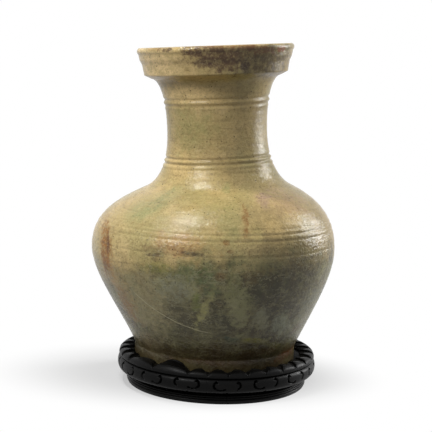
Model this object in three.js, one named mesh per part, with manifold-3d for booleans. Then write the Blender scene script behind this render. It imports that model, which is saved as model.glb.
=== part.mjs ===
// A glazed stoneware hu vase standing in its black-stained carved wooden stand.
// Millimetres, +Z up, origin on the floor under the middle of the vase's belly.
import * as THREE from 'three';
import { mergeVertices } from 'three/addons/utils/BufferGeometryUtils.js';
import Module from 'manifold-3d';

const wasm = await Module();
wasm.setup();

// Clearances
const GAP = 0.3;               // between pieces that rest on or fit in each other
const WELL_GAP = 0.6;          // beside the foot where it stands closest to the well, for lifting it out

// Vase, with heights above the underside of its foot
const VASE_HEIGHT = 351.7;
const WALL = 8;
const FLOOR = 14;
const FLOOR_CORNER = 18;       // reach of the round between wall and floor inside
const FOOT_RADIUS = 88.3;
const FOOT_RISE = 26.9;
const FOOT_BEVEL = 1.5;
const BELLY_RADIUS = 133.1;
const BELLY_RISE = 133;
const SHOULDER_RADIUS = 79.6;  // where the shoulder turns over into the neck
const SHOULDER_RISE = 200.4;
const SHOULDER_SLOPE = THREE.MathUtils.degToRad(25.5);
const NECK_RADIUS = 54.3;
const NECK_RISE = 260.4;
const THROAT_RADIUS = 69.7;    // top of the neck, under the collar
const COLLAR_RISE = 318.4;
const COLLAR_RADIUS = 77.8;    // the collar's sharp lower corner
const LIP_RADIUS = 84.7;
const LIP_BEAD = 7;            // height of the rounded lip
const VASE_SIDES = 60;
// The pot was thrown by hand: how far foot, neck and lip are off the belly's axis, and the mouth's tilt
const FOOT_SHIFT = 4.9;
const NECK_SHIFT = 3.5;
const LIP_SHIFT = -4.2;
const MOUTH_TILT = THREE.MathUtils.degToRad(3.75);
const TILT_FROM = 150;         // the tilt grows from this height
const TILT_TO = 232;           // up to this one, at the foot of the neck

// Stand
const STAND_SHIFT = 7.5;       // its middle is off the belly's axis too, so the foot isn't quite central
const RING_ARCS = 4;           // each ring is made of this many arcs
const BASE_RADIUS = 99;
const BASE_HEIGHT = 9;
const BASE_BORE = 77;
const BASE_STEPS = 16;         // facets along one arc
const SEAT_RADIUS = 84;
const SEAT_THICKNESS = 7.5;
const NECKING_RADIUS = 94;     // the dark recess between base and apron
const NECKING_HEIGHT = 4.3;
const APRON_RADIUS = 109.2;
const APRON_HEIGHT = 15.1;
const APRON_UNITS = 16;        // carved scroll panels round the apron
const APRON_STEPS = 20;
const POST_SHARE = 0.37;       // share of a unit that is the plain post between two panels
const APRON_TURN = THREE.MathUtils.degToRad(-5);
const HOOK_DEPTH = 5;
const RIM_RADIUS = 107.9;
const RIM_HEIGHT = 8;          // up to the crest of the roll
const TIP_DROOP = 1.2;         // how much lower than the crest a petal's tip is
const PETALS = 32;
const PETAL_STEPS = 8;         // facets along one petal
const PETAL_TURN = THREE.MathUtils.degToRad(6.7);
const PETAL_GAP = 0.4;         // from the foot to the petal's tip that is closest to it
const NOTCH_BACK = 4.5;        // how far the notch between two petals is cut back
const NOTCH_DROP = 3.2;        // and how far down
const ROLL_REACH = 8;          // from the rim's outer edge in to the crest of its roll
const WIDE_TIP_RISE = 0.6;     // how much higher the tip of the wide petal is
const RAISED_TIP_RISE = 6.4;   // and that of the raised one beside it
// Petals that take two places, and the notch where each starts
const WIDE_PETALS = [
  { notch: -6, extra: WIDE_TIP_RISE },
  { notch: -4, extra: RAISED_TIP_RISE },
];
const PEG_RADIUS = 1.5;
const PEG_SIDES = 12;
const LOWER_PEG_LENGTH = 11;
const UPPER_PEG_LENGTH = 9;
const PEG_COVER = 2;           // wood left over the upper end of a peg

const TAU = Math.PI * 2;
const seatBottom = BASE_HEIGHT + GAP;
const seatTop = seatBottom + SEAT_THICKNESS;
const vaseBottom = seatTop + GAP;
const apronBottom = BASE_HEIGHT + GAP;
const neckingTop = apronBottom + NECKING_HEIGHT;
const apronTop = neckingTop + APRON_HEIGHT;
const rimBottom = apronTop + GAP;
const footOffset = Math.abs(STAND_SHIFT - FOOT_SHIFT);
const wellRadius = FOOT_RADIUS + footOffset + WELL_GAP;
const petalTipRadius = FOOT_RADIUS + footOffset + PETAL_GAP;

const glaze = new THREE.MeshStandardMaterial({ color: 0x8f8a68, roughness: 0.45, metalness: 0 });
const stainedWood = new THREE.MeshStandardMaterial({ color: 0x100c0b, roughness: 0.35, metalness: 0 });

const group = new THREE.Group();
const stand = new THREE.Group();
stand.position.x = STAND_SHIFT;
group.add(stand);

function addPiece(parent, name, geometry, material) {
  const mesh = new THREE.Mesh(geometry, material);
  mesh.name = name;
  parent.add(mesh);
}

// A closed geometry as a solid for cutting
function toSolid(geometry) {
  const plain = geometry.clone();
  plain.deleteAttribute('normal');
  plain.deleteAttribute('uv');
  const merged = mergeVertices(plain, 1e-4);
  return new wasm.Manifold(new wasm.Mesh({
    numProp: 3,
    vertProperties: merged.attributes.position.array,
    triVerts: new Uint32Array(merged.index.array),
  }));
}

function toGeometry(solid) {
  const mesh = solid.getMesh();
  const geometry = new THREE.BufferGeometry();
  geometry.setAttribute('position', new THREE.BufferAttribute(mesh.vertProperties, 3));
  geometry.setIndex(new THREE.BufferAttribute(mesh.triVerts, 1));
  geometry.computeVertexNormals();
  return geometry;
}

function cutAll(geometry, cutters) {
  const cut = cutters.reduce((left, cutter) => left.subtract(toSolid(cutter)), toSolid(geometry));
  return toGeometry(cut);
}

// A place round the stand: 0 is the front, and angles grow towards +X
function onRing(radius, angle) {
  return [radius * Math.sin(angle), -radius * Math.cos(angle)];
}

// Sweeps a closed section of [radius, z] points round Z, with capped ends
function sweepArc(sectionAt, from, to, steps) {
  const sections = [];
  for (let i = 0; i <= steps; i++) {
    sections.push(sectionAt(from + (to - from) * i / steps));
  }
  const count = sections[0].length;
  const positions = [];
  sections.forEach((section, i) => {
    const angle = from + (to - from) * i / steps;
    for (const [radius, z] of section) {
      positions.push(...onRing(radius, angle), z);
    }
  });
  const index = [];
  for (let i = 0; i < steps; i++) {
    for (let j = 0; j < count; j++) {
      const a = i * count + j;
      const b = i * count + (j + 1) % count;
      index.push(a, a + count, b, b, a + count, b + count);
    }
  }
  const cap = (section) => THREE.ShapeUtils.triangulateShape(
    section.map(([radius, z]) => new THREE.Vector2(radius, z)), []);
  const last = steps * count;
  for (const [a, b, c] of cap(sections[0])) {
    index.push(a, b, c);
  }
  for (const [a, b, c] of cap(sections[steps])) {
    index.push(last + a, last + c, last + b);
  }
  const geometry = new THREE.BufferGeometry();
  geometry.setAttribute('position', new THREE.Float32BufferAttribute(positions, 3));
  geometry.setIndex(index);
  return geometry;
}

// Start and end of one arc of a ring, less half a gap at each end
function arcSpan(i, radius, turn) {
  const trim = GAP / 2 / radius;
  return [turn + i * TAU / RING_ARCS + trim, turn + (i + 1) * TAU / RING_ARCS - trim];
}

function bezier(a, b, c, d) {
  const [p, q, r, s] = [a, b, c, d].map(([x, y]) => new THREE.Vector2(x, y));
  return new THREE.CubicBezierCurve(p, q, r, s);
}

// The four curves of the body's outline, from the foot up to the collar
function bodyCurves() {
  const swell = BELLY_RADIUS - FOOT_RADIUS;
  const rise = BELLY_RISE - FOOT_RISE;
  const shoulder = BELLY_RADIUS - SHOULDER_RADIUS;
  const fall = SHOULDER_RADIUS - NECK_RADIUS;
  const slope = Math.tan(SHOULDER_SLOPE);
  const flare = THROAT_RADIUS - NECK_RADIUS;
  return [
    bezier(
      [FOOT_RADIUS, FOOT_RISE],
      [FOOT_RADIUS + 0.34 * swell, FOOT_RISE + 0.32 * rise],
      [BELLY_RADIUS, BELLY_RISE - 0.27 * rise],
      [BELLY_RADIUS, BELLY_RISE]),
    bezier(
      [BELLY_RADIUS, BELLY_RISE],
      [BELLY_RADIUS, BELLY_RISE + 0.52 * (SHOULDER_RISE - BELLY_RISE)],
      [SHOULDER_RADIUS + 0.61 * shoulder, SHOULDER_RISE - 0.61 * shoulder * slope],
      [SHOULDER_RADIUS, SHOULDER_RISE]),
    bezier(
      [SHOULDER_RADIUS, SHOULDER_RISE],
      [SHOULDER_RADIUS - 0.55 * fall, SHOULDER_RISE + 0.55 * fall * slope],
      [NECK_RADIUS, NECK_RISE - 0.57 * (NECK_RISE - SHOULDER_RISE)],
      [NECK_RADIUS, NECK_RISE]),
    bezier(
      [NECK_RADIUS, NECK_RISE],
      [NECK_RADIUS, NECK_RISE + 0.64 * (COLLAR_RISE - NECK_RISE)],
      [THROAT_RADIUS - 0.54 * flare, COLLAR_RISE - 0.07 * flare],
      [THROAT_RADIUS, COLLAR_RISE]),
  ];
}

// Points along the curves, moved inwards by a wall, without the shared ends twice
function alongBody(inset, counts) {
  const points = [];
  bodyCurves().forEach((curve, k) => {
    for (let i = k === 0 ? 0 : 1; i <= counts[k]; i++) {
      const at = curve.getPoint(i / counts[k]);
      const along = curve.getTangent(i / counts[k]);
      points.push([at.x - inset * along.y, at.y + inset * along.x]);
    }
  });
  return points;
}

function vaseOutside() {
  const collar = VASE_HEIGHT - COLLAR_RISE;
  const flare = LIP_RADIUS - COLLAR_RADIUS;
  const bead = VASE_HEIGHT - LIP_BEAD;
  return [
    [0, 0],
    [FOOT_RADIUS - FOOT_BEVEL, 0],
    [FOOT_RADIUS, FOOT_BEVEL],
    ...alongBody(0, [8, 9, 7, 6]),
    [COLLAR_RADIUS, COLLAR_RISE + 0.17 * collar],
    [COLLAR_RADIUS + 0.25 * flare, COLLAR_RISE + 0.46 * collar],
    [COLLAR_RADIUS + 0.6 * flare, COLLAR_RISE + 0.6 * collar],
    [LIP_RADIUS - 0.15 * flare, bead],
    [LIP_RADIUS, bead + 0.4 * LIP_BEAD],
    [LIP_RADIUS - 0.1 * flare, bead + 0.72 * LIP_BEAD],
    [LIP_RADIUS - 0.5 * flare, VASE_HEIGHT],
  ];
}

// From the lip down to the middle of the floor
function vaseInside() {
  const collar = VASE_HEIGHT - COLLAR_RISE;
  const inFoot = FOOT_RADIUS - WALL;
  return [
    [LIP_RADIUS - WALL, VASE_HEIGHT - 0.15 * LIP_BEAD],
    [LIP_RADIUS - WALL - 1.2, VASE_HEIGHT - 0.7 * LIP_BEAD],
    [COLLAR_RADIUS - WALL, COLLAR_RISE + 0.4 * collar],
    [COLLAR_RADIUS - WALL - 2.5, COLLAR_RISE + 0.3 * collar],
    ...alongBody(WALL, [6, 7, 6, 4]).reverse(),
    [inFoot - 0.16 * FLOOR_CORNER, FLOOR + 0.34 * FLOOR_CORNER],
    [inFoot - 0.6 * FLOOR_CORNER, FLOOR + 0.05 * FLOOR_CORNER],
    [inFoot - FLOOR_CORNER, FLOOR],
    [0, FLOOR],
  ];
}

// How far the centre line is off the belly's axis at a height
function shiftAt(z) {
  const { smoothstep, mapLinear } = THREE.MathUtils;
  if (z < BELLY_RISE) {
    return FOOT_SHIFT * (1 - smoothstep(z, FOOT_RISE, BELLY_RISE));
  }
  if (z < SHOULDER_RISE) {
    return NECK_SHIFT * smoothstep(z, BELLY_RISE, SHOULDER_RISE);
  }
  return mapLinear(z, SHOULDER_RISE, VASE_HEIGHT, NECK_SHIFT, LIP_SHIFT);
}

function tiltAt(z) {
  return MOUTH_TILT * THREE.MathUtils.smoothstep(z, TILT_FROM, TILT_TO);
}

function makeVase() {
  const profile = [...vaseOutside(), ...vaseInside()].map(([r, z]) => new THREE.Vector2(r, z));
  const geometry = new THREE.LatheGeometry(profile, VASE_SIDES);
  geometry.rotateX(Math.PI / 2);
  const position = geometry.attributes.position;
  for (let i = 0; i < position.count; i++) {
    const x = position.getX(i);
    const z = position.getZ(i);
    position.setX(i, x + shiftAt(z));
    position.setZ(i, z + x * Math.tan(tiltAt(z)));
  }
  geometry.translate(0, 0, vaseBottom);
  addPiece(group, 'vase_body', geometry, glaze);
}

// Pegs: the lower ones tie base and apron, the upper ones tie apron and rim
const lowerPegs = {
  circle: (SEAT_RADIUS + GAP + NECKING_RADIUS) / 2,
  top: seatTop - PEG_COVER,
  length: LOWER_PEG_LENGTH,
};
const upperPegs = {
  circle: (petalTipRadius + NOTCH_BACK + RIM_RADIUS) / 2,
  top: rimBottom + RIM_HEIGHT - NOTCH_DROP / 2 - PEG_COVER,
  length: UPPER_PEG_LENGTH,
};
const PEGS = 2 * RING_ARCS;

function pegAngle(i) {
  return (i + 0.5) * TAU / PEGS;
}

function pegAt(pegs, i, clearance) {
  const radius = PEG_RADIUS + clearance;
  const geometry = new THREE.CylinderGeometry(radius, radius, pegs.length + 2 * clearance, PEG_SIDES);
  geometry.rotateX(Math.PI / 2);
  geometry.translate(...onRing(pegs.circle, pegAngle(i)), pegs.top - pegs.length / 2);
  return geometry;
}

function pegHoles(pegs) {
  return Array.from({ length: PEGS }, (_, i) => pegAt(pegs, i, GAP));
}

function makePegs(name, pegs) {
  for (let i = 0; i < PEGS; i++) {
    addPiece(stand, name + '_' + (i + 1), pegAt(pegs, i, 0), stainedWood);
  }
}

function makeBase() {
  const r = BASE_RADIUS;
  const h = BASE_HEIGHT;
  const section = [
    [BASE_BORE, 0], [r - 1.4, 0], [r - 0.2, 0.09 * h], [r, 0.33 * h], [r - 1, 0.48 * h],
    [r - 0.7, 0.62 * h], [r - 1.6, 0.76 * h], [r - 1.6, 0.89 * h], [r - 2.8, h],
    [BASE_BORE, h],
  ];
  for (let i = 0; i < RING_ARCS; i++) {
    const arc = sweepArc(() => section, ...arcSpan(i, r, PETAL_TURN), BASE_STEPS);
    addPiece(stand, 'base_arc_' + (i + 1), cutAll(arc, pegHoles(lowerPegs)), stainedWood);
  }
}

function makeSeatBoard() {
  const geometry = new THREE.CylinderGeometry(SEAT_RADIUS, SEAT_RADIUS, SEAT_THICKNESS, VASE_SIDES);
  geometry.rotateX(Math.PI / 2);
  geometry.translate(0, 0, seatBottom + SEAT_THICKNESS / 2);
  addPiece(stand, 'seat_board', geometry, stainedWood);
}

// One hook of a carved scroll panel; side is 1 at the panel's left end and -1 at its right end
function hookAt(angle, side) {
  const h = APRON_HEIGHT;
  const outline = [
    [3, 0.88 * h], [0.8, 0.88 * h], [-1.1, 0.64 * h], [0.2, 0.36 * h],
    [2.8, 0.32 * h], [1.8, 0.46 * h], [1, 0.62 * h], [1.6, 0.76 * h],
  ];
  const shape = new THREE.Shape(outline.map(([x, z]) => new THREE.Vector2(x * side, z)));
  const depth = 2 * HOOK_DEPTH;
  const geometry = new THREE.ExtrudeGeometry(shape, { depth, bevelEnabled: false });
  geometry.rotateX(Math.PI / 2);
  geometry.translate(0, -(APRON_RADIUS - HOOK_DEPTH), neckingTop);
  geometry.rotateZ(angle);
  return geometry;
}

function makeApron() {
  const r = APRON_RADIUS;
  const z = neckingTop;
  const h = APRON_HEIGHT;
  const section = [
    [SEAT_RADIUS + GAP, apronBottom], [NECKING_RADIUS, apronBottom], [NECKING_RADIUS, z],
    [r - 6, z], [r - 3.8, z + 0.07 * h], [r - 1.2, z + 0.3 * h], [r, z + 0.58 * h],
    [r - 0.4, z + 0.8 * h], [r - 2, z + h], [wellRadius, z + h], [wellRadius, seatTop],
    [SEAT_RADIUS + GAP, seatTop],
  ];
  const unit = TAU / APRON_UNITS;
  const hooks = [];
  for (let k = 0; k < APRON_UNITS; k++) {
    const post = APRON_TURN + k * unit;
    hooks.push(hookAt(post + POST_SHARE / 2 * unit, 1), hookAt(post - POST_SHARE / 2 * unit, -1));
  }
  const cutters = [...hooks, ...pegHoles(lowerPegs), ...pegHoles(upperPegs)];
  for (let i = 0; i < RING_ARCS; i++) {
    const arc = sweepArc(() => section, ...arcSpan(i, r, APRON_TURN), APRON_STEPS);
    addPiece(stand, 'apron_arc_' + (i + 1), cutAll(arc, cutters), stainedWood);
  }
}

// Where an angle lies in its petal: rise is 0 in a notch and 1 in the middle, extra is for a wide petal
function petalAt(angle) {
  const places = (angle - PETAL_TURN) * PETALS / TAU;
  for (const { notch, extra } of WIDE_PETALS) {
    const fromNotch = THREE.MathUtils.euclideanModulo(places - notch, PETALS);
    if (fromNotch < 2) {
      const rise = Math.sqrt(Math.abs(Math.sin(Math.PI * fromNotch / 2)));
      return { rise, extra: extra * rise * rise };
    }
  }
  return { rise: Math.sqrt(Math.abs(Math.sin(Math.PI * places))), extra: 0 };
}

function makeRim() {
  const z = rimBottom;
  const h = RIM_HEIGHT;
  const r = RIM_RADIUS;
  const sectionAt = (angle) => {
    const { rise, extra } = petalAt(angle);
    const inner = petalTipRadius + NOTCH_BACK * (1 - rise);
    const drop = NOTCH_DROP * (1 - rise) - extra;
    const tip = z + h - TIP_DROOP - drop;
    return [
      [petalTipRadius + NOTCH_BACK, z], [r - 0.2, z], [r, z + 0.28 * h], [r - 1, z + 0.6 * h],
      [r - 0.45 * ROLL_REACH, z + 0.86 * h - 0.2 * drop],
      [r - ROLL_REACH, z + h - 0.4 * drop], [inner + 2, tip],
      [inner, tip - 1], [inner + 0.6, z + 0.4 * (tip - z)],
    ];
  };
  const steps = PETALS * PETAL_STEPS / RING_ARCS;
  for (let i = 0; i < RING_ARCS; i++) {
    const arc = sweepArc(sectionAt, ...arcSpan(i, RIM_RADIUS, PETAL_TURN), steps);
    addPiece(stand, 'rim_arc_' + (i + 1), cutAll(arc, pegHoles(upperPegs)), stainedWood);
  }
}

makeVase();
makeBase();
makeSeatBoard();
makeApron();
makeRim();
makePegs('lower_peg', lowerPegs);
makePegs('upper_peg', upperPegs);

export default group;
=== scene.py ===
"""Looks of a glazed hu vase standing in its black-stained carved wooden stand."""
import math
from collections import namedtuple
from types import SimpleNamespace
import bpy
import numpy as np
from mathutils import Matrix, Vector


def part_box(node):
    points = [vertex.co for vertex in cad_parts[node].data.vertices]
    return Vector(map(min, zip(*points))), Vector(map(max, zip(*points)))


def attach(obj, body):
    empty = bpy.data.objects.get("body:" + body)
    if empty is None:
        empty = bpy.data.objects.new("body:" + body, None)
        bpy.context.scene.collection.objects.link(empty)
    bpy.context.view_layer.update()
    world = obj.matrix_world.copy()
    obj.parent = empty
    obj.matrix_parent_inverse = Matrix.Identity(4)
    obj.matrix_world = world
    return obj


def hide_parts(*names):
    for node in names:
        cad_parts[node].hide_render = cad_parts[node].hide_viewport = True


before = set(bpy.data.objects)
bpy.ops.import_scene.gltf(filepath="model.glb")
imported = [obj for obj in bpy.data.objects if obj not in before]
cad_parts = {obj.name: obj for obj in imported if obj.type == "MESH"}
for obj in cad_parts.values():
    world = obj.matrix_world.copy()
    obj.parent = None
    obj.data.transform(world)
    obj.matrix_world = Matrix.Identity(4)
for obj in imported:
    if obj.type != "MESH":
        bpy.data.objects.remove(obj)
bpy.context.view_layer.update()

MM = 0.001
TAU = 2 * math.pi

# Camera, as the photograph's view: pixels are of a 432 x 432 frame
FRAME_PIXELS = 432
FOCAL_PIXELS = 1235
SENSOR_MM = 36
CAMERA_AT = Vector((0.0021, -1.340, 0.3715))
CAMERA_PITCH = math.radians(7.98)
CAMERA_ROLL = math.radians(1.8)

# Vase, in mm above the underside of its foot
VASE_HEIGHT = 351.7
WALL = 8
FLOOR = 14
FLOOR_CORNER = 18    # how far in from the wall the floor inside starts to be flat
FOOT_RADIUS = 88.3
FOOT_BEVEL = 2.5
FOOT_RISE = 26.9
BELLY_RADIUS = 133.1
BELLY_RISE = 133
SHOULDER_RADIUS = 79.6
SHOULDER_RISE = 200.4
SHOULDER_SLOPE = math.radians(25.5)
NECK_RADIUS = 54.3
NECK_RISE = 260.4
THROAT_RADIUS = 69.7
COLLAR_RISE = 318.4
COLLAR_RADIUS = 77.8
LIP_RADIUS = 84.7
LIP_BEAD = 7
FOOT_SHIFT = 4.9
NECK_SHIFT = 3.5
LIP_SHIFT = -4.2
MOUTH_TILT = math.radians(3.75)
TILT_FROM = 150
TILT_TO = 232
VASE_SIDES = 320
VASE_STEP = 1.1
SKIN = 0.06          # how far the fine surface keeps inside the plain one
OVAL = 0.0015        # by which share of its radius the pot is narrower one way than the other
UNEVEN = 0.12        # how far the hand-thrown wall comes in

# Incised and raised lines: height, depth (raised when negative) and half width
TURNED_LINES = [
    (118.6, 0.2, 1.2), (143.1, 0.4, 1.0),
    (158.2, 0.55, 0.9), (161.3, -0.2, 0.9), (164.3, 0.6, 0.9), (168.4, 0.25, 0.9),
    (222.8, 0.4, 1.0), (225.2, -0.4, 0.9), (228.2, 1.3, 1.1), (231.0, -0.5, 0.9), (233.8, 1.3, 1.1),
    (286.2, -0.3, 0.8), (289.1, 0.5, 0.9), (292.5, -1.0, 1.0), (295.9, 1.0, 1.2),
]

# Chips and dents: pixel in the photograph, half size and depth in mm (raised when negative)
DENTS = [
    ((163, 46), 4.0, 0.9), ((167, 45), 2.2, -0.5), ((172, 45), 4.0, 0.8), ((228, 44), 6.0, 0.4),
    ((262, 44), 5.0, 0.5), ((284, 46), 3.5, 0.9), ((147, 73), 4.0, 0.6), ((285, 71), 5.0, 0.5),
    ((205, 56), 8.0, 0.5), ((226, 60), 9.0, 0.5),
]

# Stand, in mm above the floor and from its own middle
RING_ARCS = 4
SEAM = 0.1           # between two arcs of a ring
BASE_RADIUS = 99
BASE_HEIGHT = 9
BASE_BORE = 77
# Beads round the base: lower and upper edge, how far in they start, swell and points
BASE_BEADS = [(1.3, 4.6, 1.5, 1.4, 9), (4.8, 6.8, 1.8, 1.1, 7), (7.0, 8.6, 2.4, 0.9, 7)]
SEAT_RADIUS = 84
SEAT_GAP = 0.3
NECKING_RADIUS = 94
NECKING_HEIGHT = 4.3
APRON_RADIUS = 109.2
APRON_HEIGHT = 15.1
APRON_UNITS = 16
POST_SHARE = 0.37
APRON_TURN = math.radians(-5)
WELL_RADIUS = 91.6
RIM_RADIUS = 107.9
RIM_HEIGHT = 8
ROLL_REACH = 8       # from the rim's outer edge in to the crest of its roll
TIP_DROOP = 1.2
PETALS = 32
PETAL_TURN = math.radians(6.7)
PETAL_TIP = 91.4
NOTCH_BACK = 4.5
NOTCH_DROP = 3.2
NOTCH_REACH = 16.5   # along the surface, from a petal's tip to the outer end of the lines round it
WIDE_PLACES = 2      # places that a wide petal takes
# Wide petals: the notch where each starts, and how much higher its tip is
WIDE_PETALS = [(-6, 0.6), (-4, 6.4)]
ROLL_FOOT = 2.2      # height above the rim's underside at which its roll begins
GROUND_DEPTH = 1.4   # how deep the ground round the petals lies
EDGE_RISE = 0.3      # the petals' raised edge
LINE_DEPTH = 0.45    # the line inside that edge

vase_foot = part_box("vase_body")[0].z
seat_low, seat_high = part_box("seat_board")
stand_x = (seat_low.x + seat_high.x) / 2
seat_top = seat_high.z / MM
apron_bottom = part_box("apron_arc_1")[0].z / MM
rim_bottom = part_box("rim_arc_1")[0].z / MM


def linear(code):
    """A #rrggbb colour as the linear values that a shader takes."""
    parts = [int(code[i:i + 2], 16) / 255 for i in (1, 3, 5)]
    return tuple(c / 12.92 if c <= 0.04045 else ((c + 0.055) / 1.055) ** 2.4 for c in parts) + (1.0,)


def smooth(x, low, high):
    t = np.clip((np.asarray(x, float) - low) / (high - low), 0, 1)
    return t * t * (3 - 2 * t)


# Outline of the vase
def bezier(a, b, c, d, count, first=0):
    t = np.linspace(0, 1, count + 1)[first:, None]
    a, b, c, d = (np.array(p, float) for p in (a, b, c, d))
    return (1 - t) ** 3 * a + 3 * (1 - t) ** 2 * t * b + 3 * (1 - t) * t ** 2 * c + t ** 3 * d


def body_outline():
    """Points of the body from the top of the foot to the underside of the collar."""
    swell = BELLY_RADIUS - FOOT_RADIUS
    rise = BELLY_RISE - FOOT_RISE
    shoulder = BELLY_RADIUS - SHOULDER_RADIUS
    fall = SHOULDER_RADIUS - NECK_RADIUS
    slope = math.tan(SHOULDER_SLOPE)
    flare = THROAT_RADIUS - NECK_RADIUS
    foot = (FOOT_RADIUS, FOOT_RISE)
    belly = (BELLY_RADIUS, BELLY_RISE)
    turn = (SHOULDER_RADIUS, SHOULDER_RISE)
    neck = (NECK_RADIUS, NECK_RISE)
    throat = (THROAT_RADIUS, COLLAR_RISE)
    return np.vstack([
        bezier(foot, (FOOT_RADIUS + 0.34 * swell, FOOT_RISE + 0.32 * rise),
               (BELLY_RADIUS, BELLY_RISE - 0.27 * rise), belly, 60),
        bezier(belly, (BELLY_RADIUS, BELLY_RISE + 0.52 * (SHOULDER_RISE - BELLY_RISE)),
               (SHOULDER_RADIUS + 0.61 * shoulder, SHOULDER_RISE - 0.61 * shoulder * slope), turn, 60, 1),
        bezier(turn, (SHOULDER_RADIUS - 0.55 * fall, SHOULDER_RISE + 0.55 * fall * slope),
               (NECK_RADIUS, NECK_RISE - 0.57 * (NECK_RISE - SHOULDER_RISE)), neck, 50, 1),
        bezier(neck, (NECK_RADIUS, NECK_RISE + 0.64 * (COLLAR_RISE - NECK_RISE)),
               (THROAT_RADIUS - 0.54 * flare, COLLAR_RISE - 0.07 * flare), throat, 50, 1),
    ])


def outward(points):
    """Unit normals of an outline, which point out where it runs upwards."""
    along = np.gradient(points, axis=0)
    along /= np.linalg.norm(along, axis=1)[:, None] + 1e-12
    return np.stack([along[:, 1], -along[:, 0]], axis=1)


def outside():
    collar = VASE_HEIGHT - COLLAR_RISE
    flare = LIP_RADIUS - COLLAR_RADIUS
    lip_foot = VASE_HEIGHT - LIP_BEAD
    foot = [(0, 0), (FOOT_RADIUS - FOOT_BEVEL, 0), (FOOT_RADIUS - 0.8, 0.5), (FOOT_RADIUS - 0.1, 2.2)]
    corner = [
        (COLLAR_RADIUS - 1.2, COLLAR_RISE + 0.1 * collar),
        (COLLAR_RADIUS - 0.2, COLLAR_RISE + 0.115 * collar),
        (COLLAR_RADIUS, COLLAR_RISE + 0.17 * collar),
        (COLLAR_RADIUS + 0.25 * flare, COLLAR_RISE + 0.46 * collar),
        (COLLAR_RADIUS + 0.6 * flare, COLLAR_RISE + 0.6 * collar),
    ]
    lip = [
        (LIP_RADIUS - 0.2 * flare, lip_foot),
        (LIP_RADIUS - 0.04 * flare, lip_foot + 0.22 * LIP_BEAD),
        (LIP_RADIUS, lip_foot + 0.42 * LIP_BEAD),
        (LIP_RADIUS - 0.03 * flare, lip_foot + 0.68 * LIP_BEAD),
        (LIP_RADIUS - 0.16 * flare, lip_foot + 0.86 * LIP_BEAD),
        (LIP_RADIUS - 0.36 * flare, lip_foot + 0.97 * LIP_BEAD),
    ]
    return np.vstack([foot, body_outline(), corner, lip])


def inside():
    collar = VASE_HEIGHT - COLLAR_RISE
    in_foot = FOOT_RADIUS - WALL
    wall = body_outline() - WALL * outward(body_outline())
    mouth = [
        (LIP_RADIUS - 0.65 * WALL, VASE_HEIGHT - 0.05 * LIP_BEAD),
        (LIP_RADIUS - WALL, VASE_HEIGHT - 0.2 * LIP_BEAD),
        (LIP_RADIUS - WALL - 1.2, VASE_HEIGHT - 0.7 * LIP_BEAD),
        (COLLAR_RADIUS - WALL, COLLAR_RISE + 0.45 * collar),
        (COLLAR_RADIUS - WALL - 2.5, COLLAR_RISE + 0.3 * collar),
    ]
    floor = [
        (in_foot - 3, FLOOR + 6),
        (in_foot - 11, FLOOR + 0.8),
        (in_foot - FLOOR_CORNER, FLOOR),
        (0, FLOOR),
    ]
    return np.vstack([mouth, wall[::-1], floor])


def resample(points, step):
    """The same outline with points at an even step, keeping its ends."""
    run = np.concatenate([[0], np.cumsum(np.linalg.norm(np.diff(points, axis=0), axis=1))])
    count = max(2, int(round(run[-1] / step)))
    at = np.linspace(0, run[-1], count + 1)
    return np.stack([np.interp(at, run, points[:, 0]), np.interp(at, run, points[:, 1])], axis=1)


def turned(points):
    """The outline with its incised and raised lines."""
    height = points[:, 1]
    depth = np.zeros(len(points))
    for at, deep, half in TURNED_LINES:
        depth += deep * np.exp(-((height - at) / half) ** 2)
    wobble = 0.04 * np.sin(height * 0.9) + 0.03 * np.sin(height * 2.3 + 1)
    body = smooth(height, FOOT_RISE, FOOT_RISE + 20) * (1 - smooth(height, COLLAR_RISE - 8, COLLAR_RISE))
    return points - outward(points) * (depth + SKIN + (wobble + 0.07) * body)[:, None]


def shift_at(z):
    """How far to the right the vase's axis lies at a height, in mm."""
    lower = FOOT_SHIFT * (1 - smooth(z, FOOT_RISE, BELLY_RISE))
    middle = NECK_SHIFT * smooth(z, BELLY_RISE, SHOULDER_RISE)
    share = (np.asarray(z, float) - SHOULDER_RISE) / (VASE_HEIGHT - SHOULDER_RISE)
    upper = NECK_SHIFT + (LIP_SHIFT - NECK_SHIFT) * share
    return np.where(z < BELLY_RISE, lower, np.where(z < SHOULDER_RISE, middle, upper))


camera_frame = (Matrix.Rotation(math.pi / 2 - CAMERA_PITCH, 3, "X")
                @ Matrix.Rotation(CAMERA_ROLL, 3, "Z"))


# Distances from the camera at which a line of sight is tried against the vase, in metres,
# and how near to it is a hit, in mm
TRY_FROM = 1.15
TRY_TO = 1.45
TRY_STEP = 0.0002
HIT_WITHIN = 0.3


def on_vase(pixel):
    """The point of the vase's front, in metres, that a pixel of the photograph shows."""
    right = pixel[0] - FRAME_PIXELS / 2
    up = FRAME_PIXELS / 2 - pixel[1]
    toward = camera_frame @ Vector((right, up, -FOCAL_PIXELS)).normalized()
    above_foot = outside()[3:]
    reach = np.arange(TRY_FROM, TRY_TO, TRY_STEP)[:, None]
    path = np.array(CAMERA_AT) + reach * np.array(toward)
    z = (path[:, 2] - vase_foot) / MM
    radius = np.interp(z, above_foot[:, 1], above_foot[:, 0])
    off_axis = np.hypot(path[:, 0] / MM - shift_at(z), path[:, 1] / MM)
    hit = np.argmax(off_axis <= radius + HIT_WITHIN)
    if off_axis[hit] > radius[hit] + HIT_WITHIN:
        hit = np.argmin(off_axis - radius)
    return path[hit]


# Meshes
def grid_faces(rows, columns, closed):
    """Quads between rows of points; closed joins the last column to the first."""
    i = np.arange(rows - 1)[:, None]
    j = np.arange(columns if closed else columns - 1)[None, :]
    k = (j + 1) % columns
    return np.stack([i * columns + j, i * columns + k, (i + 1) * columns + k, (i + 1) * columns + j],
                    axis=-1).reshape(-1, 4)


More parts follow.
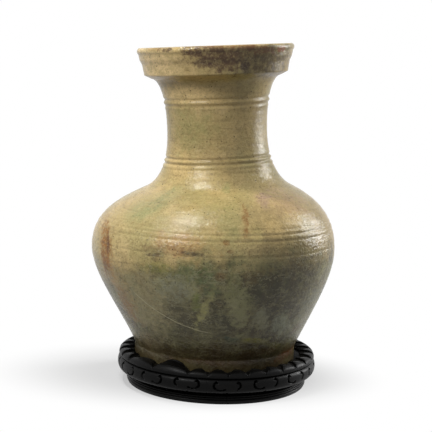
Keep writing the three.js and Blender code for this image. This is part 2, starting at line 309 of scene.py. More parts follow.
def mesh_object(name, points, faces, material, body):
    mesh = bpy.data.meshes.new(name)
    mesh.from_pydata(points.tolist(), [], faces)
    mesh.validate()
    mesh.update()
    mesh.polygons.foreach_set("use_smooth", [True] * len(mesh.polygons))
    mesh.materials.append(material)
    piece = bpy.data.objects.new(name, mesh)
    bpy.context.scene.collection.objects.link(piece)
    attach(piece, body)
    return piece


def make_vase(material):
    outline = np.vstack([turned(resample(outside(), VASE_STEP)), resample(inside(), 3 * VASE_STEP)])
    rings = outline[1:-1]
    facing = outward(outline)[1:-1]
    turn = np.arange(VASE_SIDES) * TAU / VASE_SIDES
    radius = rings[:, :1] * (1 - OVAL * (1 + np.cos(2 * turn + 0.7)) / 2)
    z = np.repeat(rings[:, 1:], VASE_SIDES, axis=1)
    uneven = 0.12 * np.sin(5 * turn + z / 23) * np.sin(z / 17 + 2) + 0.08 * np.sin(11 * turn - z / 9)
    radius = radius - UNEVEN * smooth(z, FOOT_RISE, FOOT_RISE + 10) * (1 + 2 * uneven)
    x = radius * np.sin(turn)
    y = -radius * np.cos(turn)
    tilt = MOUTH_TILT * smooth(z, TILT_FROM, TILT_TO)
    points = np.stack([x + shift_at(z), y, z + x * np.tan(tilt)], axis=2)
    way_out = np.stack([facing[:, :1] * np.sin(turn), -facing[:, :1] * np.cos(turn),
                        np.repeat(facing[:, 1:], VASE_SIDES, axis=1)], axis=2)
    for pixel, half, depth in DENTS:
        centre = (on_vase(pixel) - np.array([0, 0, vase_foot])) / MM
        near = np.exp(-((points - centre) ** 2).sum(axis=2) / half ** 2)
        points = points - depth * near[:, :, None] * way_out
    points = points.reshape(-1, 3)
    ends = [(float(shift_at(height)), 0, height) for height in (outline[0, 1], outline[-1, 1])]
    points = np.vstack([points, ends]) * MM + np.array([0, 0, vase_foot])
    bottom = len(rings) * VASE_SIDES
    last = bottom - VASE_SIDES
    faces = grid_faces(len(rings), VASE_SIDES, True).tolist()
    for j in range(VASE_SIDES):
        k = (j + 1) % VASE_SIDES
        faces.append((bottom, k, j))
        faces.append((bottom + 1, last + j, last + k))
    vase = mesh_object("vase_pot", points, faces, material, "vase")
    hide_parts("vase_body")


# Rings of the stand. A section is given as radius and height for each angle;
# angle 0 is the front, and angles grow towards +X.
def ring_arcs(name, section_at, radius, turn, steps, material):
    arc_turn = TAU / RING_ARCS
    trim = SEAM / 2 / radius
    for i in range(RING_ARCS):
        start = turn + i * arc_turn + trim
        angles = np.linspace(start, turn + (i + 1) * arc_turn - trim, steps + 1)
        reach, height = section_at(angles[:, None])
        points = np.stack([reach * np.sin(angles)[:, None] * MM + stand_x,
                           -reach * np.cos(angles)[:, None] * MM, height * MM], axis=2)
        count = points.shape[1]
        faces = grid_faces(steps + 1, count, True)[:, [0, 3, 2, 1]].tolist()
        faces.append(list(range(count)))
        faces.append([steps * count + j for j in reversed(range(count))])
        arc = mesh_object(name + "_" + str(i + 1), points.reshape(-1, 3), faces, material,
                          "stand")
        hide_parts(name.replace("carved_", "") + "_" + str(i + 1))


def spread(angles, profile):
    """The same profile at each angle, as radius and height."""
    profile = np.array(profile, float)
    shape = (len(angles), len(profile))
    return np.broadcast_to(profile[:, 0], shape).copy(), np.broadcast_to(profile[:, 1], shape).copy()


def bead(bottom, top, radius, swell, count):
    """A half-round bead on the outside of a ring."""
    share = np.linspace(-1, 1, count)
    middle, half = (bottom + top) / 2, (top - bottom) / 2
    return [(radius + swell * math.sqrt(1 - s * s), middle + half * s) for s in share]


def base_section(angles):
    r = BASE_RADIUS
    profile = [(BASE_BORE, 0), (r - 1.6, 0), (r - 1.1, 0.4), (r - 1.1, 1.2)]
    for bottom, top, inset, swell, count in BASE_BEADS:
        profile += bead(bottom, top, r - inset, swell, count)
    profile += [(r - 2.9, 8.8), (r - 3.2, BASE_HEIGHT), (BASE_BORE, BASE_HEIGHT)]
    return spread(angles, profile)


def stroke(along, height, points, half):
    """How far inside a carved stroke a place is: 1 on its line and 0 at its edge."""
    nearest = np.full(np.broadcast(along, height).shape, 1e9)
    for (x0, z0), (x1, z1) in zip(points[:-1], points[1:]):
        dx, dz = x1 - x0, z1 - z0
        t = np.clip(((along - x0) * dx + (height - z0) * dz) / (dx * dx + dz * dz), 0, 1)
        nearest = np.minimum(nearest, np.hypot(along - x0 - t * dx, height - z0 - t * dz))
    return 1 - smooth(nearest, 0.45 * half, half)


# Strokes at both ends of a scroll panel: depth, half width and points, all in mm,
# as places from the panel's end and above the apron's lower edge
STROKES = [
    (4.5, 1.3, [(2.2, 13.0), (0.5, 11.8), (-0.3, 9.6), (0.1, 7.6), (1.4, 6.4)]),
    (3.0, 1.0, [(2.2, 13.0), (3.4, 12.2)]),
    (2.4, 0.9, [(1.4, 6.4), (2.8, 5.4)]),
    (1.6, 1.0, [(13.2, 0.0), (13.8, 1.4)]),
]
# Strokes of the panel's one end that has a long tail
TAIL_STROKES = [
    (2.4, 0.9, [(1.4, 6.4), (3.6, 5.0), (7.0, 4.4), (9.6, 4.7)]),
    (3.6, 1.3, [(10.6, 5.2), (11.4, 5.4)]),
]


def carving(angles, height):
    """Depth of the apron's carving at an angle and a height above its lower edge."""
    unit = TAU / APRON_UNITS
    place = (np.mod(angles - APRON_TURN + math.pi, TAU) - math.pi) / unit
    post = np.floor(place + 0.5)
    from_post = np.abs(place - post) * unit * APRON_RADIUS
    side = np.sign(place - post)
    along = from_post - POST_SHARE / 2 * unit * APRON_RADIUS + 0.4 * np.sin(post * 1.7 + side)
    height = height + 0.5 * np.sin(post * 2.4 + side)
    long_tail = (np.floor(place) >= 0) == (side > 0)
    depth = 0.0
    for deep, half, points in STROKES:
        depth = np.maximum(depth, deep * stroke(along, height, points, half))
    for deep, half, points in TAIL_STROKES:
        depth = np.maximum(depth, long_tail * deep * stroke(along, height, points, half))
    return depth


def apron_section(angles):
    r, h = APRON_RADIUS, APRON_HEIGHT
    z = apron_bottom + NECKING_HEIGHT
    lower = bezier((r - 6, z), (r - 1.6, z + 0.02 * h), (r, z + 0.25 * h), (r, z + 0.58 * h), 26)
    upper = bezier((r, z + 0.58 * h), (r, z + 0.8 * h), (r - 1.2, z + 0.94 * h), (r - 3.4, z + h), 18, 1)
    front = [(SEAT_RADIUS + SEAT_GAP, apron_bottom), (NECKING_RADIUS, apron_bottom), (NECKING_RADIUS, z)]
    back = [(WELL_RADIUS, z + h), (WELL_RADIUS, seat_top), (SEAT_RADIUS + SEAT_GAP, seat_top)]
    reach, height = spread(angles, np.vstack([front, lower, upper, back]))
    carved = slice(len(front) + 3, len(front) + len(lower) + len(upper))
    reach[:, carved] -= carving(angles, height[:, carved] - z)
    return reach, height


def petal_at(angles):
    """How far an angle is into its petal, straight and as a swell, and a wide petal's extra height."""
    places = (angles - PETAL_TURN) * PETALS / TAU
    side = 2 * np.abs(places - np.round(places))
    swell = np.abs(np.sin(math.pi * places))
    extra = np.zeros_like(places)
    for notch, higher in WIDE_PETALS:
        from_notch = np.mod(places - notch, PETALS)
        wide = from_notch < WIDE_PLACES
        part = np.where(wide, from_notch, 0) / WIDE_PLACES
        to_notch = np.minimum(from_notch, WIDE_PLACES - from_notch)
        side = np.where(wide, np.minimum(2 * to_notch, 1), side)
        swell = np.where(wide, np.abs(np.sin(math.pi * part)), swell)
        extra = np.where(wide, higher * np.sin(math.pi * part ** 0.8), extra)
    return side, swell, extra


def run_back(reach, height):
    """Distance along a section from each point to its last one."""
    step = np.hypot(np.diff(reach, axis=1), np.diff(height, axis=1))
    along = np.cumsum(step[:, ::-1], axis=1)[:, ::-1]
    return np.hstack([along, np.zeros((len(reach), 1))])


def rim_section(angles):
    z, h = rim_bottom, RIM_HEIGHT
    side, swell, extra = petal_at(angles)
    rise = np.sqrt(swell)
    inner = PETAL_TIP + NOTCH_BACK * (1 - rise)
    drop = NOTCH_DROP * (1 - rise) - extra
    crest = RIM_RADIUS - ROLL_REACH
    turn = np.linspace(0, math.pi / 2, 25)[None, :]
    share = np.linspace(0, 1, 31)[None, 1:]
    reach = np.hstack([crest + ROLL_REACH * np.cos(turn) ** 0.8 + 0 * rise,
                       crest + (inner + 0.7 - crest) * share])
    roll = z + ROLL_FOOT + (h - ROLL_FOOT) * np.sin(turn) ** 0.95
    height = np.hstack([roll - 0.4 * drop * np.sin(turn) ** 3,
                        z + h - TIP_DROOP * share ** 2 - drop * (0.4 + 0.6 * share)])
    past_edge = run_back(reach, height) - NOTCH_REACH * (1 - side ** 0.9)
    relief = -GROUND_DEPTH * (1 - smooth(past_edge, -1.2, 0.2))
    relief += EDGE_RISE * np.exp(-((past_edge - 0.9) / 0.6) ** 2)
    relief -= LINE_DEPTH * np.exp(-((past_edge - 2.4) / 0.6) ** 2)
    relief *= smooth(height, z + 2.4, z + 4.4)
    tilt = np.hstack([turn, turn[:, -1:] + 0 * share])
    reach = reach + relief * np.cos(tilt)
    height = height + relief * np.sin(tilt)
    tip = height[:, -1:]
    flat = 0 * inner
    start = np.array([[RIM_RADIUS - 2.4, z], [RIM_RADIUS - 1.4, z + 0.3], [RIM_RADIUS - 0.5, z + 1.1]])
    return (np.hstack([flat + start[:, 0], reach, inner + 0.2, inner, inner + 0.2,
                       inner + 0.6, flat + PETAL_TIP + NOTCH_BACK]),
            np.hstack([flat + start[:, 1], height, tip - 0.3, tip - 0.9, tip - 1.8,
                       z + 0.3 * (tip - z), z + flat]))


# Materials
class Shader:
    """A node material in the making: each call adds a node and returns its output."""

    def __init__(self, name):
        self.material = bpy.data.materials.new(name)
        self.material.use_nodes = True
        self.nodes = self.material.node_tree.nodes
        self.links = self.material.node_tree.links
        self.bsdf = self.nodes["Principled BSDF"]
        self.point = self.nodes.new("ShaderNodeTexCoord").outputs["Object"]
        split = self.nodes.new("ShaderNodeSeparateXYZ")
        self.links.new(self.point, split.inputs[0])
        self.x, self.y, self.z = split.outputs
        self.uneven = {}

    def put(self, socket, value):
        if isinstance(value, bpy.types.NodeSocket):
            self.links.new(value, socket)
        else:
            socket.default_value = value

    def finish(self, values):
        """Sets the numbers that are the same all over the surface, on the shader's own sockets."""
        for name, value in values.items():
            self.bsdf.inputs[name].default_value = value

    def math(self, operation, a, b=0.0):
        node = self.nodes.new("ShaderNodeMath")
        node.operation = operation
        self.put(node.inputs[0], a)
        self.put(node.inputs[1], b)
        return node.outputs[0]

    def times(self, a, b):
        return self.math("MULTIPLY", a, b)

    def plus(self, a, b):
        return self.math("ADD", a, b)

    def mix(self, a, b, share):
        node = self.nodes.new("ShaderNodeMix")
        node.data_type = "RGBA"
        self.put(node.inputs["Factor"], share)
        self.put(node.inputs[6], a)
        self.put(node.inputs[7], b)
        return node.outputs[2]

    def step(self, value, low, high, to_low=0.0, to_high=1.0):
        node = self.nodes.new("ShaderNodeMapRange")
        node.interpolation_type = "SMOOTHSTEP"
        ends = {"From Min": low, "From Max": high, "To Min": to_low, "To Max": to_high}
        for name, number in ends.items():
            self.put(node.inputs[name], number)
        self.put(node.inputs["Value"], value)
        return node.outputs["Result"]

    def placed(self, kind, place, turn, size):
        node = self.nodes.new("ShaderNodeMapping")
        node.vector_type = kind
        node.inputs["Location"].default_value = place
        node.inputs["Rotation"].default_value = (0, turn, 0)
        node.inputs["Scale"].default_value = size
        self.links.new(self.point, node.inputs["Vector"])
        return node.outputs[0]

    def noise(self, scale, detail=4, stretch=(1, 1, 1), offset=(0, 0, 0), rough=0.55, turn=0.0):
        place = self.placed("POINT", offset, turn, stretch)
        node = self.nodes.new("ShaderNodeTexNoise")
        node.inputs["Scale"].default_value = scale
        node.inputs["Detail"].default_value = detail
        node.inputs["Roughness"].default_value = rough
        self.links.new(place, node.inputs["Vector"])
        return node.outputs["Fac"]

    def cells(self, scale, feature="F1", offset=(0, 0, 0)):
        place = self.placed("POINT", offset, 0.0, (1, 1, 1))
        node = self.nodes.new("ShaderNodeTexVoronoi")
        node.feature = feature
        node.inputs["Scale"].default_value = scale
        self.links.new(place, node.inputs["Vector"])
        return node.outputs["Distance"]

    def bump(self, height_mm):
        node = self.nodes.new("ShaderNodeBump")
        node.inputs["Strength"].default_value = 1.0
        node.inputs["Distance"].default_value = MM
        self.put(node.inputs["Height"], height_mm)
        return node.outputs[0]

    def ragged(self, scale):
        """Noise round 0 that frays the edge of a patch; patches of one scale share it."""
        if scale not in self.uneven:
            self.uneven[scale] = self.math("SUBTRACT", self.noise(scale, 6, rough=0.68), 0.5)
        return self.uneven[scale]

    def patch(self, centre, half, turn, ragged, soft, scale):
        """1 inside a frayed ellipse round a point of the surface, and 0 outside it."""
        place = self.placed("TEXTURE", centre, turn, (2 * half[0], 2 * MARK_DEPTH, 2 * half[1]))
        ball = self.nodes.new("ShaderNodeTexGradient")
        ball.gradient_type = "SPHERICAL"
        self.links.new(place, ball.inputs["Vector"])
        inward = self.plus(ball.outputs["Fac"], self.times(self.ragged(scale), 2.4 * ragged))
        return self.step(inward, 0.5 - soft / 2, 0.5 + soft / 2)


MARK_DEPTH = 0.06    # how deep a mark reaches along the view, in metres

# Marks on the glaze: pixel in the photograph, half sizes in mm, turn in degrees, colour, strength,
# how frayed and how soft the edge is, and the scale of the fraying
Mark = namedtuple("Mark", "pixel half turn colour share ragged soft scale", defaults=(0.5, 0.5, 70))

LOWER_MARKS = [
    Mark((292, 292), (38, 34), 8, "#595340", 0.7, 0.6, 0.4, 90),
    Mark((268, 300), (16, 30), 0, "#47422f", 0.6, 0.7, 0.4),
    Mark((170, 306), (34, 24), -20, "#5f5a42", 0.5, 0.7, 0.5, 90),
    Mark((196, 330), (30, 12), 0, "#4a4632", 0.55, 0.7),
    Mark((142, 298), (24, 42), 15, "#a0936a", 0.7, 0.8, 0.6, 90),
    Mark((176, 288), (18, 12), 10, "#93937a", 0.6, 0.9, 0.5, 130),
    Mark((222, 324), (8, 20), 0, "#4c4a32", 0.6, 0.6),
    Mark((205, 308), (4, 26), -20, "#a39d66", 0.9, 0.8, 0.4, 130),
    Mark((238, 304), (9, 34), 8, "#99966a", 0.75, 0.9, 0.4, 130),
    Mark((233, 286), (7, 12), 0, "#77764a", 0.6, 0.7),
    Mark((283, 324), (11, 12), 10, "#989b80", 0.75, 0.9, 0.4, 120),
    Mark((262, 318), (7, 12), 10, "#9c9a7c", 0.65, 0.9, 0.4, 120),
    Mark((309, 305), (8, 22), -20, "#7c7d63", 0.5, 0.8),
    Mark((316, 268), (6, 16), -10, "#5a5540", 0.6, 0.8, 0.4, 110),
    Mark((158, 267), (20, 7), 5, "#72733a", 0.8, 0.7),
    Mark((143, 262), (12, 8), 10, "#817e4c", 0.5, 0.6),
    Mark((198, 268), (20, 13), 5, "#58643c", 0.8, 0.7),
    Mark((212, 283), (9, 14), -10, "#5d6a48", 0.6, 0.7),
    Mark((243, 264), (14, 6), 0, "#4f5d3c", 0.7, 0.7),
    Mark((219, 277), (5, 5), 0, "#8c5a30", 0.35, 0.8),
    Mark((196, 300), (4, 10), 0, "#76803c", 0.5, 0.7),
    Mark((254, 341), (10, 3), -6, "#a09a34", 0.85, 0.6),
    Mark((272, 345), (10, 3), -20, "#8a8748", 0.7, 0.6),
    Mark((231, 340), (7, 4), 0, "#3c5444", 0.6, 0.8),
    Mark((286, 354), (11, 5), 12, "#7e4820", 0.8, 0.7),
    Mark((262, 352), (18, 4), 0, "#7c5c3c", 0.4, 0.7),
    Mark((150, 344), (18, 12), 0, "#9a8a66", 0.55, 0.6),
    # The next two marks darken the front of the foot: partly dark glaze, partly painted shade.
    Mark((196, 356), (40, 7), 0, "#43361f", 0.7, 0.6),
    Mark((238, 350), (36, 9), 0, "#41361f", 0.6, 0.6),
    Mark((215, 363), (40, 3), 0, "#6f4c30", 0.5, 0.6),
    Mark((122, 290), (10, 40), 22, "#a08858", 0.7, 0.6),
    Mark((126, 304), (5, 28), 25, "#8d6430", 0.6, 0.7),
]

UPPER_MARKS = [
    Mark((106, 250), (6, 27), 4, "#825200", 1.0, 0.5, 0.4, 110),
    Mark((108, 244), (2, 10), 4, "#55300c", 0.7, 0.6, 0.35, 150),
    Mark((104, 228), (4, 10), 0, "#8f6a2c", 0.4, 0.7),
    Mark((110, 270), (4, 16), 10, "#9c6a2c", 0.45, 0.7),
    Mark((157, 204), (19, 4), 34, "#7f8558", 0.5, 0.9, 0.6, 110),
    Mark((140, 213), (14, 6), 25, "#8f9060", 0.4, 0.6),
    Mark((227, 187), (4, 4), 0, "#7f8554", 0.4, 0.9),
    Mark((283, 203), (26, 9), -12, "#b89574", 0.4, 0.8),
    Mark((264, 200), (6, 9), -20, "#9a7c72", 0.5, 0.8),
    Mark((262, 214), (26, 10), 0, "#8a7850", 0.5, 0.7),
    Mark((230, 226), (10, 18), 0, "#8f8a58", 0.45, 0.6),
    Mark((246, 222), (3, 14), 4, "#825a2c", 0.7, 0.8, 0.5, 110),
    Mark((226, 243), (3, 3), 30, "#764818", 0.6, 0.9, 0.5, 140),
    Mark((230, 252), (2.5, 1.5), 0, "#5f3812", 0.7, 0.8, 0.4, 140),
    Mark((180, 246), (26, 10), 0, "#ab8250", 0.5, 0.8),
    Mark((284, 246), (34, 14), 0, "#7d6c46", 0.6, 0.8),
    Mark((170, 250), (26, 5), 0, "#6c4c34", 0.4, 1.0, 0.3, 150),
    Mark((153, 255), (9, 1.6), 6, "#3f2c22", 0.8, 0.7, 0.4, 140),
    Mark((193, 254), (9, 1.8), -4, "#412e22", 0.8, 0.8, 0.4, 140),
    Mark((308, 258), (16, 1.6), 4, "#4a3a2a", 0.6, 0.9, 0.4, 140),
    # Painted light: the next two pale marks lighten the collar's left and the neck under it, where the lamp
    # falls.
    Mark((154, 64), (32, 18), 0, "#dcc08c", 0.85, 0.5, 0.6),
    Mark((184, 94), (28, 10), 0, "#d6bb84", 0.8, 0.5, 0.6),
    Mark((190, 130), (22, 22), 0, "#98935c", 0.5, 0.6),
    Mark((262, 112), (8, 16), 0, "#8c7c54", 0.4, 0.6),
    Mark((218, 57), (32, 12), -4, "#573e29", 0.85, 0.9, 0.4, 110),
    Mark((208, 62), (14, 6), -10, "#4d3629", 0.6, 0.9, 0.4, 130),
    Mark((236, 58), (12, 8), 0, "#5a4230", 0.5, 0.9, 0.4, 130),
    # The next mark darkens the collar's right: partly the glaze's own dark patch, partly painted shade.
    Mark((270, 60), (28, 14), 0, "#5a4a2e", 0.8, 0.7),
    Mark((262, 50), (16, 4), 0, "#6d3f22", 0.6, 0.8, 0.4, 120),
    Mark((222, 47), (66, 2), -2, "#6a4c30", 0.7, 0.9, 0.5, 120),
    Mark((165, 49), (7, 3), 0, "#4e3a26", 0.8, 0.8, 0.4, 120),
    Mark((281, 49), (5, 3), 0, "#8a3f14", 0.8, 0.7, 0.4, 120),
    Mark((246, 67), (4, 6), 0, "#352224", 0.7, 0.8, 0.4, 120),
    Mark((232, 46), (36, 1.6), 0, "#7d4f2e", 0.5, 0.8, 0.4, 120),
    Mark((186, 46), (20, 1.5), 0, "#7d6136", 0.4, 0.8, 0.4, 120),
    Mark((153, 49), (8, 2), 0, "#7c5c30", 0.5, 0.8, 0.4, 120),
]

# The long pale scratch: three pixels that it passes, and its half width in mm
SCRATCH = ((135, 293), (168, 318), (209, 333))
SCRATCH_HALF = 0.55


def paint(s, colour, marks, mottle):
    for mark in marks:
        half = (mark.half[0] * MM, mark.half[1] * MM)
        within = s.patch(on_vase(mark.pixel).tolist(), half, -math.radians(mark.turn),
                         mark.ragged, mark.soft, mark.scale)
        colour = s.mix(colour, linear(mark.colour), s.times(s.times(within, mottle), mark.share))
    return colour


def scratch_line(s):
    """1 on the circle, in x and z, through the scratch's three places."""
    (ax, az), (bx, bz), (cx, cz) = [tuple(on_vase(pixel)[[0, 2]]) for pixel in SCRATCH]
    twice = 2 * (ax * (bz - cz) + bx * (cz - az) + cx * (az - bz))
    a2, b2, c2 = ax * ax + az * az, bx * bx + bz * bz, cx * cx + cz * cz
    x = (a2 * (bz - cz) + b2 * (cz - az) + c2 * (az - bz)) / twice
    z = (a2 * (cx - bx) + b2 * (ax - cx) + c2 * (bx - ax)) / twice
    radius = math.hypot(ax - x, az - z)
    dx = s.math("SUBTRACT", s.x, x)
    dz = s.math("SUBTRACT", s.z, z)
    away = s.math("SQRT", s.plus(s.times(dx, dx), s.times(dz, dz)))
    off = s.math("ABSOLUTE", s.plus(s.math("SUBTRACT", away, radius), s.times(s.ragged(70), 2 * MM)))
    line = s.step(off, 0.3 * SCRATCH_HALF * MM, SCRATCH_HALF * MM, 1.0, 0.0)
    ends = s.times(s.step(s.x, ax - 0.004, ax + 0.004), s.step(s.x, cx - 0.004, cx + 0.006, 1.0, 0.0))
    front = s.step(s.y, -0.03, 0.0, 1.0, 0.0)
    return s.times(s.times(line, ends), front)


# Colours of the sound glaze
BUFF = "#b89f6a"
OLIVE_BUFF = "#a29463"
PALE_BUFF = "#c6ad7c"
GREEN_FILM = "#8f8a55"
DULL_BUFF = "#927f52"
WIPED = "#86744a"
DARK_SPECK = "#4d4126"
PALE_SPECK = "#d6c494"

# Colours of the weathered lower body
WORN_PALE = "#7f7850"
WORN_DARK = "#50492f"
REMAINS = "#9d986c"
WORN_GREEN = "#62693f"
WORN_BROWN = "#705a36"
GRIME = "#332e1e"
SCRATCHED = "#a39d7a"
SCUFFED = "#9b9572"
LONG_SCRATCH = "#b6ae8a"
# Darkening of the foot: partly grime, partly painted shade
FOOT_GRIME_AND_SHADE = "#32271a"

# Colours of pits, specks, crazing and dust
PIT = "#3f3021"
SPECK = "#2a1d14"
CRAZING = "#5a5034"
DUST = "#6e6040"

# Heights in metres between which the weathered part fades out, and the darkening at its foot, partly grime
# and partly painted shade
WORN_TO = (0.138, 0.172)
GRIME_AND_SHADE_TO = (0.036, 0.09)
# Towards the left, between these two places in x, the weathered part comes to end lower by the drop
WORN_LEFT = (-0.12, -0.05)
WORN_LEFT_DROP = 0.032
# Heights between which the belly's band of denser pits fades in, and out again
BAND_FROM = (0.125, 0.14)
BAND_TO = (0.165, 0.185)

GLAZE_FINISH = {
    "IOR": 1.5,
    "Specular IOR Level": 0.02,
    "Coat Weight": 0.42,
    "Coat Roughness": 0.13,
    "Coat IOR": 1.5,
}


def glaze_noises(s):
    """The noises that the layers of the glaze share."""
    return SimpleNamespace(
        broad=s.noise(9, 5, offset=(3, 1, 2)),
        middle=s.noise(38, 6, offset=(1, 5, 0)),
        small=s.noise(120, 5, offset=(7, 3, 5)),
        fine=s.noise(340, 4),
        grain=s.noise(700, 3, offset=(2, 2, 2)),
        speck=s.noise(430, 4, offset=(4, 4, 4), rough=0.7),
        wiped=s.noise(30, 4, stretch=(1, 1, 12), offset=(0, 2, 7)),
        mottle=s.step(s.noise(180, 6, offset=(6, 2, 8), rough=0.7), 0.4, 0.56, 0.5, 1.15),
        film=s.step(s.noise(16, 6, offset=(8, 1, 1), rough=0.6), 0.5, 0.66, 0, 0.4))


def sound_glaze(s, n):
    colour = s.mix(linear(BUFF), linear(OLIVE_BUFF), s.step(n.broad, 0.4, 0.62))
    colour = s.mix(colour, linear(PALE_BUFF), s.step(n.middle, 0.5, 0.72, 0, 0.5))
    colour = s.mix(colour, linear(GREEN_FILM), s.times(n.film, n.mottle))
    colour = s.mix(colour, linear(DULL_BUFF), s.step(n.small, 0.48, 0.72, 0, 0.6))
    colour = s.mix(colour, linear(WIPED), s.step(n.wiped, 0.5, 0.72, 0, 0.45))
    colour = paint(s, colour, UPPER_MARKS, n.mottle)
    colour = s.mix(colour, linear(DARK_SPECK), s.step(n.speck, 0.5, 0.72, 0, 0.5))
    return s.mix(colour, linear(PALE_SPECK), s.step(n.speck, 0.48, 0.3, 0, 0.25))


def ragged_height(s, n):
    """The height that the weathered part's edge goes by: frayed, and counted higher at the left."""
    low = s.plus(s.z, s.plus(s.times(s.math("SUBTRACT", n.middle, 0.5), 0.05), s.times(s.ragged(70), 0.06)))
    return s.plus(low, s.step(s.x, *WORN_LEFT, WORN_LEFT_DROP, 0.0))


def worn_base(s, n, patches):
    """The weathered body's cloudy ground, with remains of glaze, green and brown on it."""
    colour = s.mix(linear(WORN_PALE), linear(WORN_DARK), s.step(patches, 0.44, 0.56))
    remains = s.noise(34, 8, stretch=(1.5, 1, 0.7), offset=(2, 6, 3), rough=0.72)
    colour = s.mix(colour, linear(REMAINS), s.step(remains, 0.5, 0.58, 0, 0.65))
    green = s.noise(20, 6, offset=(5, 3, 9), rough=0.65)
    colour = s.mix(colour, linear(WORN_GREEN), s.step(green, 0.5, 0.6, 0, 0.35))
    brown = s.noise(44, 4, offset=(4, 8, 2))
    colour = s.mix(colour, linear(WORN_BROWN), s.step(brown, 0.52, 0.64, 0, 0.5))
    return s.mix(colour, linear(GRIME), s.step(n.fine, 0.48, 0.68, 0, 0.55))


def worn_glaze(s, n, low):
    patches = s.noise(26, 8, offset=(9, 9, 1), rough=0.7)
    colour = paint(s, worn_base(s, n, patches), LOWER_MARKS, n.mottle)
    squiggle = s.noise(120, 6, stretch=(1, 1, 2.2), offset=(1, 1, 6), rough=0.7)
    squiggle = s.math("ABSOLUTE", s.math("SUBTRACT", squiggle, 0.5))
    squiggle = s.times(s.step(squiggle, 0.006, 0.03, 0.75, 0.0), s.step(n.small, 0.44, 0.56))
    squiggle = s.times(squiggle, s.step(patches, 0.4, 0.52, 0.25, 1.0))
    colour = s.mix(colour, linear(SCRATCHED), squiggle)
    scuffs = s.noise(44, 6, stretch=(1, 1, 5), offset=(3, 7, 7), rough=0.7, turn=0.3)
    colour = s.mix(colour, linear(SCUFFED), s.step(scuffs, 0.55, 0.66, 0, 0.42))
    colour = s.mix(colour, linear(LONG_SCRATCH), scratch_line(s))
    # Grime and painted shade: the foot is darkened towards the bottom.
    foot = s.step(low, *GRIME_AND_SHADE_TO, 1.0, 0.0)
    return s.mix(colour, linear(FOOT_GRIME_AND_SHADE), s.times(foot, 0.8))


def pitting(s):
    """Small pits, in patches and denser in the belly's band."""
    pits = s.step(s.cells(300, offset=(1, 0, 0)), 0.08, 0.24, 1.0, 0.0)
    where = s.step(s.noise(24, 4, offset=(5, 5, 5)), 0.46, 0.6)
    band = s.times(s.step(s.z, *BAND_FROM), s.step(s.z, *BAND_TO, 1.0, 0.0))
    return s.times(pits, s.math("MINIMUM", s.plus(s.times(where, 0.7), s.times(band, 0.8)), 1.0))


def glaze_material():
    s = Shader("glaze")
    n = glaze_noises(s)
    colour = sound_glaze(s, n)
    low = ragged_height(s, n)
    worn = s.step(low, *WORN_TO, 1.0, 0.0)
    colour = s.mix(colour, worn_glaze(s, n, low), worn)

    pits = pitting(s)
    colour = s.mix(colour, linear(PIT), s.times(pits, 0.7))
    specks = s.step(s.cells(130, offset=(3, 4, 0)), 0.05, 0.12, 1.0, 0.0)
    colour = s.mix(colour, linear(SPECK), s.times(specks, 0.85))
    cracks = s.step(s.cells(520, "DISTANCE_TO_EDGE"), 0.0, 0.08, 1.0, 0.0)
    colour = s.mix(colour, linear(CRAZING), s.times(cracks, 0.16))
    colour = s.mix(colour, linear(DUST), s.step(n.grain, 0.5, 0.8, 0, 0.3))
    s.put(s.bsdf.inputs["Base Color"], colour)

    rough = s.plus(s.step(n.small, 0.3, 0.7, 0.17, 0.28), s.step(n.speck, 0.4, 0.65, 0, 0.12))
    s.put(s.bsdf.inputs["Roughness"], s.plus(rough, s.times(worn, 0.16)))
    s.finish(GLAZE_FINISH)
    height = s.plus(s.times(n.middle, 0.6), s.times(n.small, 0.5))
    height = s.plus(height, s.plus(s.times(n.fine, 0.48), s.times(n.grain, 0.16)))
    height = s.math("SUBTRACT", height, s.plus(s.times(pits, 0.12), s.times(cracks, 0.015)))
    relief = s.bump(height)
    s.put(s.bsdf.inputs["Normal"], relief)
    s.put(s.bsdf.inputs["Coat Normal"], relief)
    return s.material


# Colours of the stained wood
STAIN = "#030303"
WORN_STAIN = "#0b0a09"
WOOD_DUST = "#191614"
WOOD_FINISH = {"IOR": 1.45, "Specular IOR Level": 0.1}


def wood_material():
    s = Shader("stained_wood")
    grain = s.noise(70, 5, stretch=(1, 1, 7))
    fine = s.noise(500, 3)
    colour = s.mix(linear(STAIN), linear(WORN_STAIN), s.step(grain, 0.42, 0.75))
    colour = s.mix(colour, linear(WOOD_DUST), s.step(fine, 0.6, 0.8, 0, 0.5))
    s.put(s.bsdf.inputs["Base Color"], colour)
    s.put(s.bsdf.inputs["Roughness"], s.step(fine, 0.3, 0.7, 0.34, 0.46))
    s.finish(WOOD_FINISH)
    s.put(s.bsdf.inputs["Normal"], s.bump(s.plus(s.times(grain, 0.2), s.times(fine, 0.06))))
    return s.material


# Studio
def make_camera():
    lens = bpy.data.cameras.new("camera")
    lens.sensor_width = SENSOR_MM
    lens.lens = FOCAL_PIXELS / FRAME_PIXELS * SENSOR_MM
    camera = bpy.data.objects.new("camera", lens)
    camera.matrix_world = Matrix.Translation(CAMERA_AT) @ camera_frame.to_4x4()
    bpy.context.scene.collection.objects.link(camera)
    bpy.context.scene.camera = camera


def area_light(name, at, towards, size, power):
    lamp = bpy.data.lights.new(name, "AREA")
    lamp.shape = "RECTANGLE"
    lamp.size, lamp.size_y = size
    lamp.energy = power
    light = bpy.data.objects.new(name, lamp)
    light.location = at
    light.rotation_euler = (Vector(towards) - Vector(at)).to_track_quat("-Z", "Y").to_euler()
    bpy.context.scene.collection.objects.link(light)


def seen_ray(nodes, links):
    """1 for rays of the camera, of reflections and of glass, which see the white background."""
    path = nodes.new("ShaderNodeLightPath")
    seen = path.outputs["Is Camera Ray"]
    for other in ("Is Glossy Ray", "Is Transmission Ray"):
        either = nodes.new("ShaderNodeMath")
        either.operation = "MAXIMUM"
        links.new(seen, either.inputs[0])
        links.new(path.outputs[other], either.inputs[1])
        seen = either.outputs[0]
    return seen


AMBIENT = 0.12


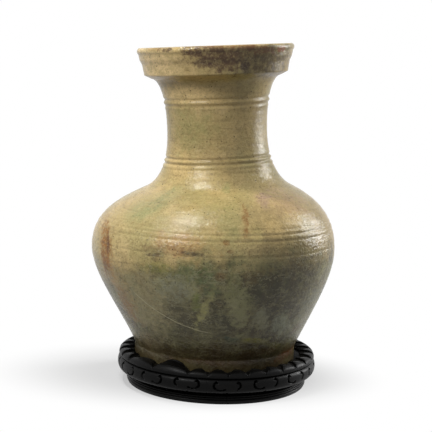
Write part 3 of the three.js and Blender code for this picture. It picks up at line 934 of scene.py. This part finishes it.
def make_world():
    world = bpy.data.worlds.new("studio")
    world.use_nodes = True
    nodes, links = world.node_tree.nodes, world.node_tree.links
    ambient = nodes["Background"]
    ambient.inputs["Color"].default_value = (1, 1, 1, 1)
    ambient.inputs["Strength"].default_value = AMBIENT
    backdrop = nodes.new("ShaderNodeBackground")
    backdrop.inputs["Color"].default_value = (1, 1, 1, 1)
    backdrop.inputs["Strength"].default_value = 1.0
    both = nodes.new("ShaderNodeMixShader")
    links.new(seen_ray(nodes, links), both.inputs[0])
    links.new(ambient.outputs[0], both.inputs[1])
    links.new(backdrop.outputs[0], both.inputs[2])
    links.new(both.outputs[0], nodes["World Output"].inputs[0])
    bpy.context.scene.world = world


FLOOR_HALF = 6
FLOOR_LEVEL = -0.0002    # just under the stand, so that the two surfaces don't meet
FLOOR_FINISH = {"Roughness": 0.9, "Specular IOR Level": 0.0}
# The floor's shadow fades to white round an oval: its middle and half sizes in metres, between which
# shares of these sizes it fades, and how white it is before and after
SHADE_AT = (-0.03, 0.02)
SHADE_HALF = (0.19, 0.13)
SHADE_FADE = (0.45, 1.25)
SHADE_WHITE = (0.35, 1.0)
# The floor's grey, as it is seen and as it throws light back up
FLOOR_SEEN = (0.5, 0.5, 0.5, 1)
FLOOR_UNSEEN = (0.2, 0.2, 0.2, 1)


def make_floor():
    s = Shader("floor")
    seen = seen_ray(s.nodes, s.links)
    s.put(s.bsdf.inputs["Base Color"], s.mix(FLOOR_UNSEEN, FLOOR_SEEN, seen))
    s.finish(FLOOR_FINISH)
    white = s.nodes.new("ShaderNodeEmission")
    white.inputs["Strength"].default_value = 1.0
    across = s.times(s.plus(s.x, -SHADE_AT[0]), 1 / SHADE_HALF[0])
    along = s.times(s.plus(s.y, -SHADE_AT[1]), 1 / SHADE_HALF[1])
    far = s.math("SQRT", s.plus(s.times(across, across), s.times(along, along)))
    blend = s.nodes.new("ShaderNodeMixShader")
    share = s.step(far, *SHADE_FADE, *SHADE_WHITE)
    s.put(blend.inputs[0], s.times(share, seen))
    s.links.new(s.bsdf.outputs[0], blend.inputs[1])
    s.links.new(white.outputs[0], blend.inputs[2])
    s.links.new(blend.outputs[0], s.nodes["Material Output"].inputs[0])
    mesh = bpy.data.meshes.new("floor")
    corners = [(-FLOOR_HALF, -FLOOR_HALF, 0), (FLOOR_HALF, -FLOOR_HALF, 0),
               (FLOOR_HALF, FLOOR_HALF, 0), (-FLOOR_HALF, FLOOR_HALF, 0)]
    mesh.from_pydata(corners, [], [(0, 1, 2, 3)])
    mesh.materials.append(s.material)
    floor = bpy.data.objects.new("floor", mesh)
    floor.location.z = FLOOR_LEVEL
    bpy.context.scene.collection.objects.link(floor)


# Lamps: name, place, the point that each looks at, width and height, all in metres, and watts
LAMPS = [
    ("key", (-0.95, -0.95, 1.30), (0, 0, 0.25), (0.5, 0.5), 22),
    ("overhead", (-0.42, -0.16, 1.33), (0, 0, 0.2), (0.1, 0.1), 10),
    ("side", (1.13, 0.53, 0.60), (0, 0, 0.22), (0.3, 0.8), 16),
    ("fill", (0.9, -1.1, 0.7), (0, 0, 0.22), (1.0, 1.0), 1.0),
]

make_camera()
make_world()
make_floor()
for lamp in LAMPS:
    area_light(*lamp)
bpy.context.scene.view_settings.view_transform = "Standard"

glaze = glaze_material()
wood = wood_material()
make_vase(glaze)
ring_arcs("carved_base_arc", base_section, BASE_RADIUS, PETAL_TURN, 96, wood)
ring_arcs("carved_apron_arc", apron_section, APRON_RADIUS, APRON_TURN, 360, wood)
ring_arcs("carved_rim_arc", rim_section, RIM_RADIUS, PETAL_TURN, 260, wood)
for name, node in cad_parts.items():
    if "arc" not in name and name != "vase_body":
        node.data.materials.clear()
        node.data.materials.append(wood)
